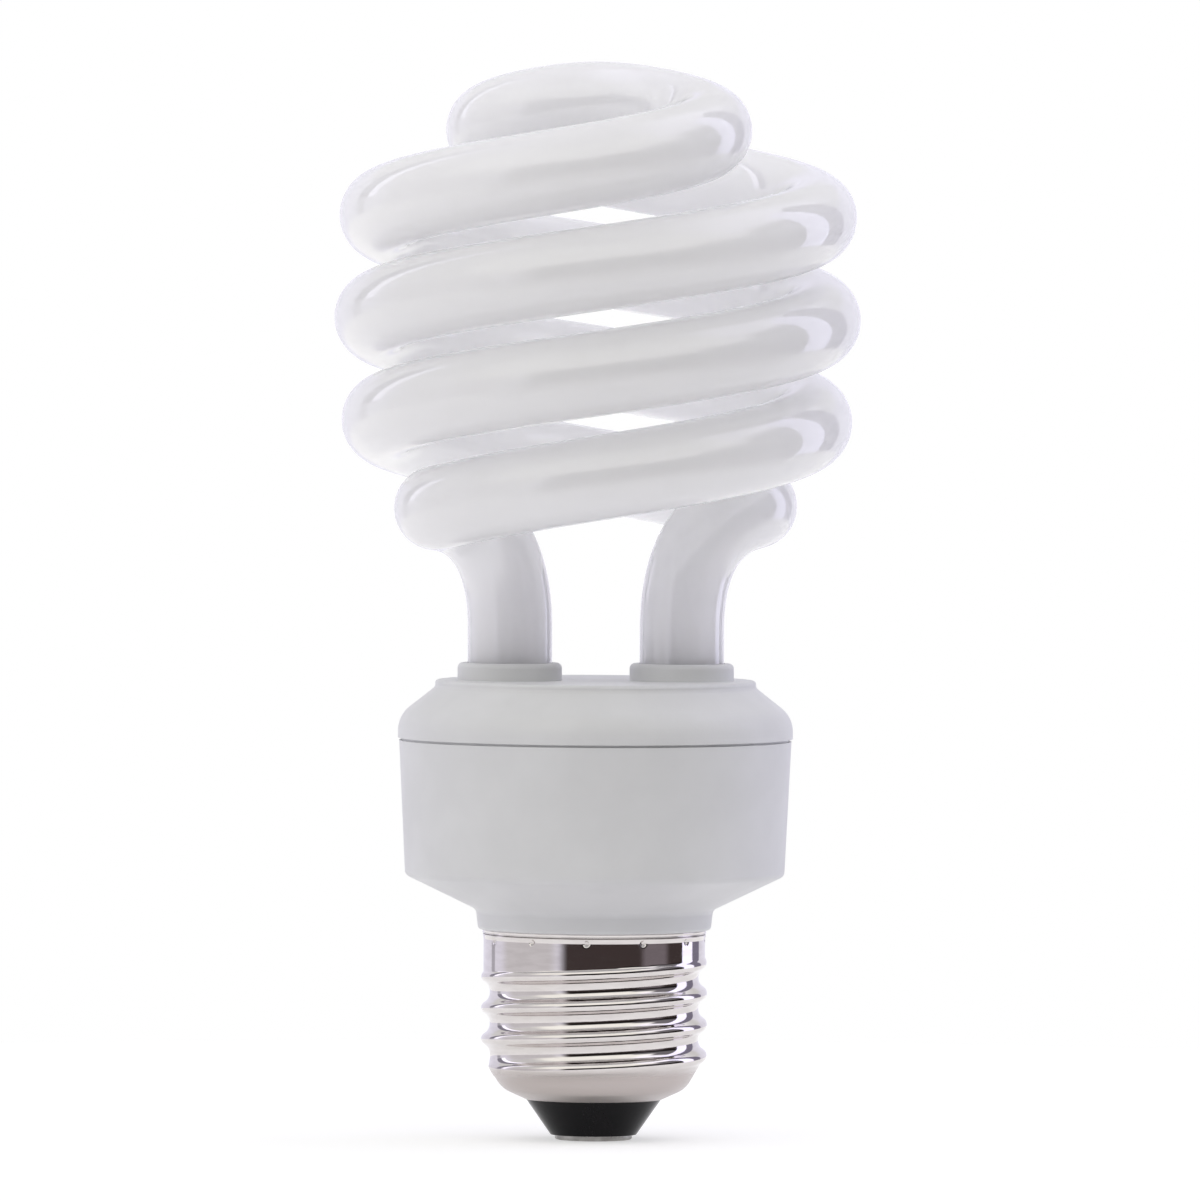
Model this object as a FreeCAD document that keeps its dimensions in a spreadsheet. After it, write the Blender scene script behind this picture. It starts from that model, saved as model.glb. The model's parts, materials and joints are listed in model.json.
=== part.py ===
"""Spiral energy saving lamp with an E26 screw cap.

Millimetres, +Z up. The origin is the middle of the tip contact's lower face.
"""
import FreeCAD
import Part
import Sketcher
import math
import os
import re

Vector = FreeCAD.Vector

# Driving dimensions, in millimetres unless the name says turns or angle
SIZES = {
    # Glass tube: a double spiral with its crossing at the top
    "tube_dia": 9.8,
    "strand_gap": 2.25,
    "coil_radius": 26.3,
    "coil_taper": 1.55,
    "coil_turns": 2.06,
    "taper_turns": 1.22,
    "crown_turns": 0.3734,
    "crown_fullness": 2.366,
    "crossing_angle": 21.66,
    "crossing_turns": 0.126,
    "dome_turns": 0.1585,
    "swell_height": 1.1,
    "swell_turns": 0.674,
    "swell_spread_turns": 0.22,
    "tail_reach": 13.8,
    "tail_rise": 18.2,
    "tail_drop": 14.83,
    "leg_spacing": 19.94,
    "leg_height": 6.0,
    "leg_depth": 5.8,
    "leg_clearance": 0.15,
    # Tip contact and insulator
    "contact_radius": 4.5,
    "contact_height": 0.6,
    "contact_round": 0.3,
    "insulator_tip_radius": 5.0,
    "insulator_height": 4.1,
    "insulator_flange": 1.9,
    "insulator_inside": 2.2,
    "insulator_bore": 1.1,
    "insulator_clearance": 0.1,
    # Screw shell
    "sheet": 0.3,
    "shell_height": 19.7,
    "band_radius": 12.85,
    "band_height": 4.1,
    "band_flare": 0.7,
    "root_radius": 12.1,
    "thread_pitch": 3.629,
    "thread_crest": 13.1,
    "thread_round": 1.15,
    "thread_level": 5.1,
    "thread_start_turns": -0.55,
    "thread_end_turns": 3.2,
    "thread_fade_turns": 0.24,
    "shoulder_height": 3.7,
    "shoulder_radius": 10.6,
    "shoulder_rise": 1.2,
    "shoulder_round": 2.4,
    "shell_mouth": 7.95,
    "dimple_radius": 0.6,
    "dimple_depth": 0.2,
    "dimple_drop": 1.0,
    "dimple_count": 12,
    # Lower housing
    "housing_wall": 1.6,
    "housing_top_radius": 22.75,
    "housing_draft": 0.75,
    "housing_height": 15.6,
    "housing_round": 0.8,
    "cone_height": 4.0,
    "cone_wall": 1.8,
    "neck_top_radius": 13.75,
    "neck_radius": 13.5,
    "neck_height": 2.3,
    "neck_round": 0.4,
    "spigot_wall": 1.2,
    "spigot_length": 13.9,
    "band_clearance": 0.1,
    "root_clearance": 0.2,
    # Upper cover
    "cover_overhang": 0.15,
    "cover_height": 7.0,
    "cover_side": 2.8,
    "cover_plate_margin": 2.58,
    "cover_band_height": 0.8,
    "cover_plate": 1.6,
    "cover_shoulder_round": 3.5,
    "cover_foot_round": 0.5,
    "cover_edge_round": 0.35,
    "collar_wall": 1.0,
    "collar_height": 2.0,
    "collar_round": 0.6,
    "seam_gap": 0.3,
    "seam_depth": 0.5,
    "skirt_wall": 1.2,
    "skirt_clearance": 0.15,
    "snap_drop": 1.1,
    "snap_half_height": 0.4,
    "snap_depth": 0.35,
    "cement_radius": 7.0,
    "cement_height": 2.0,
    "cement_clearance": 0.05,
    # Circuit board and what stands on its two faces
    "board_thickness": 1.6,
    "board_drop": 2.2,
    "board_clearance": 0.2,
    "ledge_width": 1.0,
    "post_width": 0.8,
    "post_height": 5.4,
    "post_out": 4.8,
    "post_aside": 6.2,
    "bead_radius": 0.55,
    "bead_height": 0.6,
    "filament_wire": 0.5,
    "wrap_clearance": 0.05,
    "filament_spacing": 3.6,
    "wrap_wall": 0.25,
    "wrap_height": 1.0,
    "wrap_lift": 1.0,
    "wire_bend": 0.9,
    "bulk_radius": 5.0,
    "bulk_length": 20.0,
    "bulk_offset": 4.5,
    "bulk_round": 0.6,
    "bulk_crimp": 0.5,
    "bulk_crimp_drop": 2.5,
    "choke_length": 14.0,
    "choke_depth": 4.5,
    "choke_height": 10.0,
    "choke_leg": 2.4,
    "choke_middle": 4.0,
    "choke_yoke": 2.2,
    "choke_gap": 2.0,
    "bobbin_wall": 0.7,
    "bobbin_flange": 0.8,
    "bobbin_overhang": 3.75,
    "bobbin_clearance": 0.1,
    "winding_inset": 0.4,
    "ring_margin": 0.6,
    "ring_share": 0.225,
    "ring_wire": 0.4,
    "ring_clearance": 0.02,
    "transistor_radius": 2.4,
    "transistor_height": 4.8,
    "transistor_flat": 1.2,
    "transistor_legs": 2.0,
    "transistor_pin": 0.5,
    "transistor_inset": 5.1,
    "transistor_angle": 33.0,
    "film_length": 10.0,
    "film_depth": 4.5,
    "film_height": 9.0,
    "film_round": 0.8,
    "film_inset": 7.15,
    "film_angle": 75.75,
    "start_length": 7.0,
    "start_depth": 4.0,
    "start_height": 8.0,
    "start_inset": 4.9,
    "start_angle": 121.6,
    "drum_radius": 3.5,
    "drum_height": 8.0,
    "drum_flange": 1.2,
    "drum_core": 1.8,
    "drum_inset": 4.8,
    "drum_angle": -125.0,
    "diode_length": 4.2,
    "diode_width": 2.6,
    "diode_height": 2.2,
    "diode_tab": 0.6,
    "diode_lift": 0.15,
    "diode_out": 3.0,
    "diode_gap": 0.9,
    "diac_radius": 0.75,
    "diac_length": 3.5,
    "diac_cap": 0.6,
    "diac_step": 0.06,
    "chip_length": 3.2,
    "chip_width": 1.6,
    "chip_height": 0.6,
    "chip_pitch": 2.6,
    "chip_out": 1.9,
    # Wires and the resistor in the neck
    "lead_dia": 1.0,
    "lead_aside": -1.6,
    "lead_bend": 1.6,
    "fuse_radius": 1.7,
    "fuse_length": 9.0,
    "fuse_lift": 1.5,
    "tip_bead_height": 0.8,
    "tip_bead_radius": 0.9,
    "shell_lead_aside": -6.0,
    "shell_lead_clear": 0.9,
    "shell_lead_gap": 0.25,
}

# Heights and widths that follow from the driving dimensions
DERIVED = {
    "tube_radius": "tube_dia / 2",
    "leg_x": "leg_spacing / 2",
    "shell_bottom": "contact_height + insulator_height",
    "shell_top": "shell_bottom + shell_height",
    "neck_top": "shell_top + neck_height",
    "wall_bottom": "neck_top + cone_height",
    "seam": "wall_bottom + housing_height",
    "cover_top": "seam + cover_height",
    "plate_under": "cover_top - cover_plate",
    "collar_radius": "tube_radius + leg_clearance + collar_wall",
    "board_top": "seam - board_drop",
    "board_under": "board_top - board_thickness",
    "housing_base_radius": "housing_top_radius - housing_draft",
    "cover_radius": "housing_top_radius + cover_overhang",
    "cover_band_radius": "leg_x + collar_radius + cover_plate_margin",
    "housing_bore": "housing_top_radius - housing_wall",
    "ledge_radius": "housing_bore - ledge_width",
    "skirt_radius": "housing_bore - skirt_clearance",
    "skirt_bore": "skirt_radius - skirt_wall",
    "band_foot": "shell_top - band_height",
    "root_top": "band_foot - band_flare",
    "shoulder_top": "shell_bottom + shoulder_height",
    "root_bore": "root_radius - sheet",
    "spigot_radius": "root_bore - root_clearance",
    "spigot_bore": "spigot_radius - spigot_wall",
    "spigot_bottom": "shell_top - spigot_length",
    "cone_slope": "cone_height / (housing_base_radius - neck_top_radius)",
    "lip_slope": "shoulder_rise / (shoulder_radius - shell_mouth)",
    "insulator_radius": "shell_mouth - insulator_clearance",
    "leg_end": "cover_top - leg_depth",
    "choke_x": "bulk_offset - bulk_radius - choke_gap - choke_length / 2",
    "choke_under": "board_under - choke_height",
    "bobbin_tall": "choke_height - 2 * choke_yoke - 2 * bobbin_clearance",
    "bobbin_x": "choke_length - 2 * choke_leg - 2 * bobbin_clearance",
    "bobbin_y": "choke_depth + 2 * bobbin_overhang",
    "bobbin_bore_x": "choke_middle + 2 * bobbin_clearance",
    "bobbin_bore_y": "choke_depth + 2 * bobbin_clearance",
    "bobbin_tube_x": "bobbin_bore_x + 2 * bobbin_wall",
    "bobbin_tube_y": "bobbin_bore_y + 2 * bobbin_wall",
    "winding_tall": "bobbin_tall - 2 * bobbin_flange",
    "ring_room": "(ledge_radius - bulk_offset - bulk_radius) / 2",
    "ring_offset": "bulk_offset + bulk_radius + ring_room",
    "ring_section": "ring_room * ring_share",
    "ring_radius": "ring_room - ring_margin - ring_section - ring_wire",
    "ring_level": "board_under - ring_section - ring_wire - 2 * ring_clearance",
    "transistor_out": "(ledge_radius - transistor_inset) * cos(transistor_angle)",
    "transistor_aside": "(ledge_radius - transistor_inset) * sin(transistor_angle)",
    "film_out": "(ledge_radius - film_inset) * cos(film_angle)",
    "film_aside": "(ledge_radius - film_inset) * sin(film_angle)",
    "start_out": "(ledge_radius - start_inset) * cos(start_angle)",
    "start_aside": "(ledge_radius - start_inset) * sin(start_angle)",
    "drum_out": "(ledge_radius - drum_inset) * cos(drum_angle)",
    "drum_aside": "(ledge_radius - drum_inset) * sin(drum_angle)",
    "diode_aside": "film_aside - bead_radius - diode_gap - diode_width / 2",
    "fuse_bottom": "shell_bottom + insulator_inside + fuse_lift",
    "fuse_top": "fuse_bottom + fuse_length",
    "shell_lead_level": "spigot_bottom - shell_lead_clear - lead_dia / 2",
}

doc = FreeCAD.newDocument("spiral_lamp")
sheet = doc.addObject("Spreadsheet::Sheet", "Sizes")
for row, (alias, amount) in enumerate(SIZES.items(), start=1):
    sheet.set(f"A{row}", alias)
    sheet.set(f"B{row}", str(amount))
    sheet.setAlias(f"B{row}", alias)
doc.recompute()


def expand(text):
    """Write an expression in terms of the sheet's cells."""
    def swap(match):
        word = match.group(0)
        if word in DERIVED:
            return "(" + expand(DERIVED[word]) + ")"
        return "Sizes." + word if word in SIZES else word
    return re.sub(r"[a-z][a-z_]*", swap, str(text))


def number(text):
    """The value of an expression, for geometry that is worked out in code."""
    return float(sheet.evalExpression(expand(text)))


def bind(thing, **expressions):
    """Tie an object's properties to the sheet."""
    for name, text in expressions.items():
        thing.setExpression(name, expand(text))
    return thing


def place(thing, x=0, y=0, z=0):
    """Tie an object's position to the sheet."""
    for axis, text in zip("xyz", (x, y, z)):
        thing.setExpression(f"Placement.Base.{axis}", expand(text))
    return thing


# Sketches and bodies

def origin_plane(body, role):
    return next(item for item in body.Origin.OriginFeatures if item.Role == role)


def new_sketch(body, name, role, lift=None):
    """A sketch on one of the body's own origin planes, raised by lift."""
    sketch = body.newObject("Sketcher::SketchObject", name)
    sketch.AttachmentSupport = [(origin_plane(body, role), "")]
    sketch.MapMode = "FlatFace"
    if lift is not None:
        sketch.setExpression("AttachmentOffset.Base.z", expand(lift))
    return sketch


def fix_coordinate(sketch, kind, line, point, text, label):
    """Hold one coordinate of a point at an expression's value."""
    if text == 0:
        axis = -2 if kind == "DistanceX" else -1
        sketch.addConstraint(Sketcher.Constraint("PointOnObject", line, point, axis))
        return
    index = sketch.addConstraint(Sketcher.Constraint(kind, -1, 1, line, point, number(text)))
    sketch.renameConstraint(index, label)
    sketch.setExpression(f"Constraints.{label}", expand(text))


def draw_outline(sketch, corners):
    """A closed outline of straight lines through the corners."""
    spots = [Vector(number(x), number(y), 0) for x, y in corners]
    for start, stop in zip(spots, spots[1:] + spots[:1]):
        sketch.addGeometry(Part.LineSegment(start, stop))
    for line, (x, y) in enumerate(corners):
        before = (line - 1) % len(corners)
        sketch.addConstraint(Sketcher.Constraint("Coincident", before, 2, line, 1))
        fix_coordinate(sketch, "DistanceX", line, 1, x, f"x{line}")
        fix_coordinate(sketch, "DistanceY", line, 1, y, f"y{line}")


def draw_leg_circles(sketch, radius):
    """One circle round each leg of the tube."""
    for side, label in ((1, "right"), (-1, "left")):
        centre = Vector(side * number("leg_x"), 0, 0)
        circle = sketch.addGeometry(Part.Circle(centre, Vector(0, 0, 1), number(radius)))
        sketch.addConstraint(Sketcher.Constraint("PointOnObject", circle, 3, -1))
        ends = (-1, 1, circle, 3) if side > 0 else (circle, 3, -1, 1)
        index = sketch.addConstraint(Sketcher.Constraint("DistanceX", *ends, number("leg_x")))
        sketch.renameConstraint(index, f"{label}_leg")
        sketch.setExpression(f"Constraints.{label}_leg", expand("leg_x"))
        index = sketch.addConstraint(Sketcher.Constraint("Radius", circle, number(radius)))
        sketch.renameConstraint(index, f"{label}_radius")
        sketch.setExpression(f"Constraints.{label}_radius", expand(radius))


def new_body(name):
    return doc.addObject("PartDesign::Body", name)


def turned(name, corners):
    """A body turned about Z from corners given as (radius, height)."""
    body = new_body(name)
    sketch = new_sketch(body, f"{name}_outline", "XZ_Plane")
    draw_outline(sketch, corners)
    turn = body.newObject("PartDesign::Revolution", f"{name}_turn")
    turn.Profile = sketch
    turn.ReferenceAxis = (sketch, ["V_Axis"])
    turn.Angle = 360
    doc.recompute()
    return body


def ring_edges(shape, radius, height, tolerance=1e-4):
    """Names of the round edges of one radius at one height."""
    names = []
    for index, edge in enumerate(shape.Edges, start=1):
        curve = edge.Curve
        if not isinstance(curve, Part.Circle):
            continue
        level = abs(curve.Center.z - number(height)) < tolerance
        if level and abs(curve.Radius - number(radius)) < tolerance:
            names.append(f"Edge{index}")
    return names


def round_rings(body, label, radius, *rings):
    """Round the edges at each (radius, height)."""
    base = body.Tip
    names = [name for ring in rings for name in ring_edges(base.Shape, *ring)]
    if not names:
        raise RuntimeError(f"{label}: no edge to round")
    fillet = body.newObject("PartDesign::Fillet", label)
    fillet.Base = (base, names)
    bind(fillet, Radius=radius)
    doc.recompute()


def rounded_block(name, length, depth, height, x, y, z, radius):
    """A moulded block, centred on x and y, standing on z."""
    body = new_body(name)
    sketch = new_sketch(body, f"{name}_outline", "XY_Plane")
    draw_outline(sketch, [(0, 0), (length, 0), (length, depth), (0, depth)])
    pad = body.newObject("PartDesign::Pad", f"{name}_pad")
    pad.Profile = sketch
    bind(pad, Length=height)
    doc.recompute()
    fillet = body.newObject("PartDesign::Fillet", f"{name}_edges")
    fillet.Base = (pad, [f"Edge{k}" for k in range(1, len(pad.Shape.Edges) + 1)])
    bind(fillet, Radius=radius)
    return place(body, f"{x} - {length} / 2", f"{y} - {depth} / 2", z)


# Part primitives

def cylinder(name, radius, height, x=0, y=0, z=0):
    solid = doc.addObject("Part::Cylinder", name)
    return place(bind(solid, Radius=radius, Height=height), x, y, z)


def box(name, length, depth, height, x=0, y=0, z=0):
    """A box centred on x and y, standing on z."""
    solid = doc.addObject("Part::Box", name)
    bind(solid, Length=length, Width=depth, Height=height)
    return place(solid, f"({x}) - ({length}) / 2", f"({y}) - ({depth}) / 2", z)


def torus(name, radius, section, x=0, y=0, z=0):
    solid = doc.addObject("Part::Torus", name)
    return place(bind(solid, Radius1=radius, Radius2=section), x, y, z)


def fused(name, *solids):
    result = doc.addObject("Part::MultiFuse", name)
    result.Shapes = list(solids)
    result.Refine = True
    return result


def cut(name, base, tool):
    result = doc.addObject("Part::Cut", name)
    result.Base = base
    result.Tool = tool
    return result


def group(name, solids):
    result = doc.addObject("Part::Compound", name)
    result.Links = list(solids)
    return result


# Paths of tangent arcs and the round bars swept along them

def arc_edge(start, direction, stop):
    """The arc, or line, that leaves start along direction and ends at stop."""
    chord = stop - start
    normal = direction.cross(chord)
    if normal.Length < 1e-7 * chord.Length:
        return Part.LineSegment(start, stop).toShape()
    across = normal.normalize().cross(direction)
    centre = start + across * (chord.dot(chord) / (2 * chord.dot(across)))
    outward = (start + stop) * 0.5 - centre
    middle = centre + outward.normalize() * (start - centre).Length
    return Part.Arc(start, middle, stop).toShape()


def arc_pair(start, leave, stop, arrive):
    """Two arcs that meet smoothly, from one point and direction to another."""
    chord = stop - start
    spread = 2 * (1 - leave.dot(arrive))
    along = 2 * chord.dot(leave + arrive)
    span = chord.dot(chord)
    if spread < 1e-9:
        handle = span / along
    else:
        handle = (math.sqrt(along * along + 4 * spread * span) - along) / (2 * spread)
    joint = (start + leave * handle + stop - arrive * handle) * 0.5
    return [arc_edge(start, leave, joint), arc_edge(stop, arrive * -1, joint)]


def smooth_path(stations):
    """A wire of tangent arcs through (point, direction) stations."""
    edges = []
    for (start, leave), (stop, arrive) in zip(stations, stations[1:]):
        if (stop - start).normalize().dot(leave) > 1 - 1e-9:
            edges.append(Part.LineSegment(start, stop).toShape())
        else:
            edges += arc_pair(start, leave, stop, arrive)
    return Part.Wire(edges)


def bent_path(points, bend):
    """Straight runs through the points, with one bend radius at the corners."""
    edges = []
    start = points[0]
    for before, corner, after in zip(points, points[1:], points[2:]):
        arrive = (corner - before).normalize()
        leave = (after - corner).normalize()
        setback = bend * math.tan(arrive.getAngle(leave) / 2)
        first = corner - arrive * setback
        last = corner + leave * setback
        edges.append(Part.LineSegment(start, first).toShape())
        edges.append(arc_edge(first, arrive, last))
        start = last
    edges.append(Part.LineSegment(start, points[-1]).toShape())
    return Part.Wire(edges)


def swept(name, path, radius):
    """A round bar along a path, its radius tied to the sheet."""
    spine = doc.addObject("Part::Feature", f"{name}_path")
    spine.Shape = path
    first = path.OrderedEdges[0]
    begins = first.firstVertex(True).Point
    heading = first.tangentAt(first.FirstParameter)
    if first.Orientation == "Reversed":
        heading = first.tangentAt(first.LastParameter) * -1
    section = doc.addObject("Part::Circle", f"{name}_section")
    bind(section, Radius=radius)
    section.Placement = FreeCAD.Placement(begins, FreeCAD.Rotation(Vector(0, 0, 1), heading))
    bar = doc.addObject("Part::Sweep", name)
    bar.Sections = [section]
    bar.Spine = (spine, [f"Edge{k}" for k in range(1, len(path.Edges) + 1)])
    bar.Solid = True
    bar.Frenet = False
    doc.recompute()
    expected = math.pi * number(radius) ** 2 * path.Length
    if abs(bar.Shape.Volume / expected - 1) > 0.01:
        raise RuntimeError(f"{name}: the bar's volume doesn't match its path")
    return bar


# Glass tube

COIL_SPANS = 20
TAIL_SPANS = 5


def coil_point(turns):
    """Centre of one strand, so many turns below the crossing."""
    wound = 2 * math.pi * turns
    crown = wound / (2 * math.pi * number("crown_turns"))
    fullness = number("crown_fullness")
    narrowing = number("coil_taper") * (2 * max(turns - number("taper_turns"), 0)) ** 2
    radius = (number("coil_radius") - narrowing) * crown / (1 + crown ** fullness) ** (1 / fullness)
    off_swell = (turns - number("swell_turns")) / number("swell_spread_turns")
    radius += number("swell_height") * math.exp(-off_swell ** 2)
    swing = 2 * math.pi * number("crossing_turns")
    azimuth = math.radians(number("crossing_angle")) - (math.hypot(wound, swing) - swing)
    return Vector(radius * math.cos(azimuth), radius * math.sin(azimuth), -coil_descent(turns))


def coil_descent(turns):
    """How far a strand has come down from the crossing."""
    slope = (number("tube_dia") + number("strand_gap")) / math.pi
    dome = 2 * math.pi * number("dome_turns")
    return slope * (math.hypot(2 * math.pi * turns, dome) - dome)


def direction_of(curve, at, step=1e-5):
    """The way a curve is heading."""
    return (curve(at + step) - curve(max(at - step, 0))).normalize()


def strand_stations():
    """Points and directions along one strand, from the crossing to the leg's end."""
    turns = number("coil_turns")
    rise = number("cover_top + leg_height + tail_drop") + coil_descent(turns)
    lift = Vector(0, 0, rise)

    def coil(part):
        return coil_point(part * turns) + lift

    top = coil(0)
    coil_end = coil(1)
    leg_top = Vector(number("leg_x"), 0, number("cover_top + leg_height"))
    handles = (coil_end, coil_end + direction_of(coil, 1) * number("tail_reach"),
               leg_top + Vector(0, 0, number("tail_rise")), leg_top)

    def tail(part):
        rest = 1 - part
        weights = (rest ** 3, 3 * rest * rest * part, 3 * rest * part * part, part ** 3)
        return sum((handle * weight for handle, weight in zip(handles, weights)), Vector())

    down = Vector(0, 0, -1)
    level = direction_of(coil, 0)
    stations = [(top, Vector(level.x, level.y, 0).normalize())]
    for span in range(1, COIL_SPANS + 1):
        stations.append((coil(span / COIL_SPANS), direction_of(coil, span / COIL_SPANS)))
    for span in range(1, TAIL_SPANS):
        stations.append((tail(span / TAIL_SPANS), direction_of(tail, span / TAIL_SPANS)))
    stations.append((leg_top, down))
    stations.append((Vector(leg_top.x, 0, number("leg_end")), down))
    return stations


def make_discharge_tube():
    strand = strand_stations()
    half_turn = FreeCAD.Rotation(Vector(0, 0, 1), 180)
    other = [(half_turn.multVec(point), half_turn.multVec(heading) * -1) for point, heading in strand]
    path = smooth_path(other[:0:-1] + strand)
    return swept("discharge_tube", path, "tube_radius")


# Upper cover

def make_tube_cover():
    body = turned("tube_cover", [
        ("cover_radius", "seam + seam_gap"),
        ("cover_radius", "seam + cover_side"),
        ("cover_band_radius", "cover_top - cover_band_height"),
        ("cover_band_radius", "cover_top"),
        (0, "cover_top"),
        (0, "plate_under"),
        ("cover_band_radius - cover_plate", "plate_under"),
        ("skirt_bore", "seam + cover_side"),
        ("skirt_bore", "board_top"),
        ("skirt_radius", "board_top"),
        ("skirt_radius", "seam - snap_drop - snap_half_height"),
        ("skirt_radius + snap_depth", "seam - snap_drop"),
        ("skirt_radius", "seam - snap_drop + snap_half_height"),
        ("skirt_radius", "seam"),
        ("cover_radius - seam_depth", "seam"),
        ("cover_radius - seam_depth", "seam + seam_gap"),
    ])
    round_rings(body, "cover_shoulder", "cover_shoulder_round", ("cover_radius", "seam + cover_side"))
    round_rings(body, "cover_foot", "cover_foot_round",
                ("cover_band_radius", "cover_top - cover_band_height"))
    round_rings(body, "cover_edge", "cover_edge_round", ("cover_band_radius", "cover_top"))
    collars = new_sketch(body, "collar_outline", "XY_Plane", "plate_under")
    draw_leg_circles(collars, "collar_radius")
    pad = body.newObject("PartDesign::Pad", "collar_pad")
    pad.Profile = collars
    bind(pad, Length="cover_plate + collar_height")
    doc.recompute()
    round_rings(body, "collar_edge", "collar_round", ("collar_radius", "cover_top + collar_height"))
    holes = new_sketch(body, "leg_hole_outline", "XY_Plane", "cover_top + collar_height")
    draw_leg_circles(holes, "tube_radius + leg_clearance")
    pocket = body.newObject("PartDesign::Pocket", "leg_holes")
    pocket.Profile = holes
    bind(pocket, Length="cover_plate + collar_height")
    doc.recompute()
    return body


def make_cement():
    rings = []
    for index, side in enumerate(("", "-"), start=1):
        where = dict(x=f"{side}leg_x", z="plate_under - cement_height")
        outer = cylinder(f"cement_outer_{index}", "cement_radius", "cement_height", **where)
        inner = cylinder(f"cement_inner_{index}", "tube_radius + cement_clearance", "cement_height",
                         **where)
        rings.append(cut(f"tube_cement_{index}", outer, inner))
    return rings


# Lower housing

def make_ballast_housing():
    body = turned("ballast_housing", [
        ("housing_top_radius", "seam"),
        ("housing_base_radius", "wall_bottom"),
        ("neck_top_radius", "neck_top"),
        ("neck_radius", "shell_top"),
        ("band_radius - sheet - band_clearance", "shell_top"),
        ("band_radius - sheet - band_clearance", "band_foot + band_clearance"),
        ("spigot_radius", "root_top"),
        ("spigot_radius", "spigot_bottom"),
        ("spigot_bore", "spigot_bottom"),
        ("spigot_bore", "neck_top + (spigot_bore - neck_top_radius) * cone_slope + cone_wall"),
        ("ledge_radius", "neck_top + (ledge_radius - neck_top_radius) * cone_slope + cone_wall"),
        ("ledge_radius", "board_under"),
        ("housing_bore", "board_under"),
        ("housing_bore", "seam - snap_drop - snap_half_height - skirt_clearance"),
        ("housing_bore + snap_depth", "seam - snap_drop"),
        ("housing_bore", "seam - snap_drop + snap_half_height + skirt_clearance"),
        ("housing_bore", "seam"),
    ])
    round_rings(body, "housing_corner", "housing_round", ("housing_base_radius", "wall_bottom"))
    round_rings(body, "neck_corner", "housing_round", ("neck_top_radius", "neck_top"))
    round_rings(body, "neck_edge", "neck_round", ("neck_radius", "shell_top"))
    return body


# Screw cap

def shell_core(name, inset):
    """The cap's form without its thread, smaller by inset all over."""
    body = turned(name, [
        (0, "shell_top"),
        (f"band_radius - {inset}", "shell_top"),
        (f"band_radius - {inset}", "band_foot"),
        (f"root_radius - {inset}", "root_top"),
        (f"root_radius - {inset}", "shoulder_top"),
        (f"shoulder_radius - {inset}", f"shell_bottom + shoulder_rise + {inset} / 2"),
        ("shell_mouth", f"shell_bottom + {inset}"),
        (0, f"shell_bottom + {inset}"),
    ])
    round_rings(body, f"{name}_shoulder", "shoulder_round",
                (f"shoulder_radius - {inset}", f"shell_bottom + shoulder_rise + {inset} / 2"))
    return body


def thread_path():
    """Right-hand helix that dips below the root at both ends."""
    begin = number("thread_start_turns")
    end = number("thread_end_turns")
    fade = number("thread_fade_turns")
    seat = number("thread_crest - thread_round")
    dip = number("thread_crest - root_radius + 2 * sheet")
    spans = math.ceil((end - begin) / fade) * 2

    def helix(part):
        turns = begin + part * (end - begin)
        inside = min(turns - begin, end - turns, fade) / fade
        radius = seat - dip * (0.5 + 0.5 * math.cos(math.pi * max(inside, 0)))
        angle = 2 * math.pi * turns
        level = number("shell_bottom + thread_level") + turns * number("thread_pitch")
        return Vector(radius * math.cos(angle), radius * math.sin(angle), level)

    return smooth_path([(helix(k / spans), direction_of(helix, k / spans)) for k in range(spans + 1)])


def make_screw_shell():
    path = thread_path()
    outside = fused("shell_outside", shell_core("shell_form", "0 * sheet"),
                    swept("thread_outside", path, "thread_round"))
    inside = fused("shell_inside", shell_core("shell_hollow", "sheet"),
                   swept("thread_inside", path, "thread_round - sheet"))
    mouth = cylinder("shell_opening", "shell_mouth", "shell_height", z="shell_bottom")
    hollow = fused("shell_cavity", inside, mouth)
    plain = cut("plain_shell", outside, hollow)
    dimples = []
    count = int(number("dimple_count"))
    circle = "(band_radius + dimple_radius - dimple_depth)"
    for index in range(count):
        angle = 360 * (index + 0.5) / count
        dimple = doc.addObject("Part::Sphere", f"dimple_{index + 1}")
        bind(dimple, Radius="dimple_radius")
        dimples.append(place(dimple, f"{circle} * cos({angle} deg)", f"{circle} * sin({angle} deg)",
                             "shell_top - dimple_drop"))
    return cut("screw_shell", plain, group("dimples", dimples))


def make_base_insulator():
    flange_radius = "(insulator_radius + insulator_flange)"
    flange_level = "shell_bottom + sheet + insulator_clearance"
    return turned("base_insulator", [
        ("insulator_bore", "contact_height"),
        ("insulator_tip_radius", "contact_height"),
        ("insulator_radius", "shell_bottom"),
        ("insulator_radius", flange_level),
        (flange_radius, f"{flange_level} + (insulator_flange + insulator_clearance) * lip_slope"),
        (flange_radius, "shell_bottom + insulator_inside"),
        ("insulator_bore", "shell_bottom + insulator_inside"),
    ])


def make_centre_contact():
    body = turned("centre_contact", [
        (0, 0), ("contact_radius", 0), ("contact_radius", "contact_height"), (0, "contact_height")])
    round_rings(body, "contact_edge", "contact_round", ("contact_radius", 0))
    return body


# The way from the tip to the board

def make_tip_parts():
    bead = cylinder("tip_solder", "tip_bead_radius", "tip_bead_height", z="contact_height")
    body = cylinder("fuse_body", "fuse_radius", "fuse_length", z="fuse_bottom")
    wire = cylinder("fuse_wire", "lead_dia / 2", "fuse_bottom - contact_height - tip_bead_height",
                    z="contact_height + tip_bead_height")
    resistor = fused("fusible_resistor", body, wire)
    aside = number("lead_aside")
    start = number("fuse_top")
    under = number("board_under")
    turn = start + number("lead_bend")
    bend = [Vector(0, 0, start), Vector(0, 0, turn),
            Vector(aside, 0, turn + abs(aside)), Vector(aside, 0, under)]
    lead = swept("line_lead", bent_path(bend, number("lead_bend")), "lead_dia / 2")
    return [bead, resistor, lead]


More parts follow.
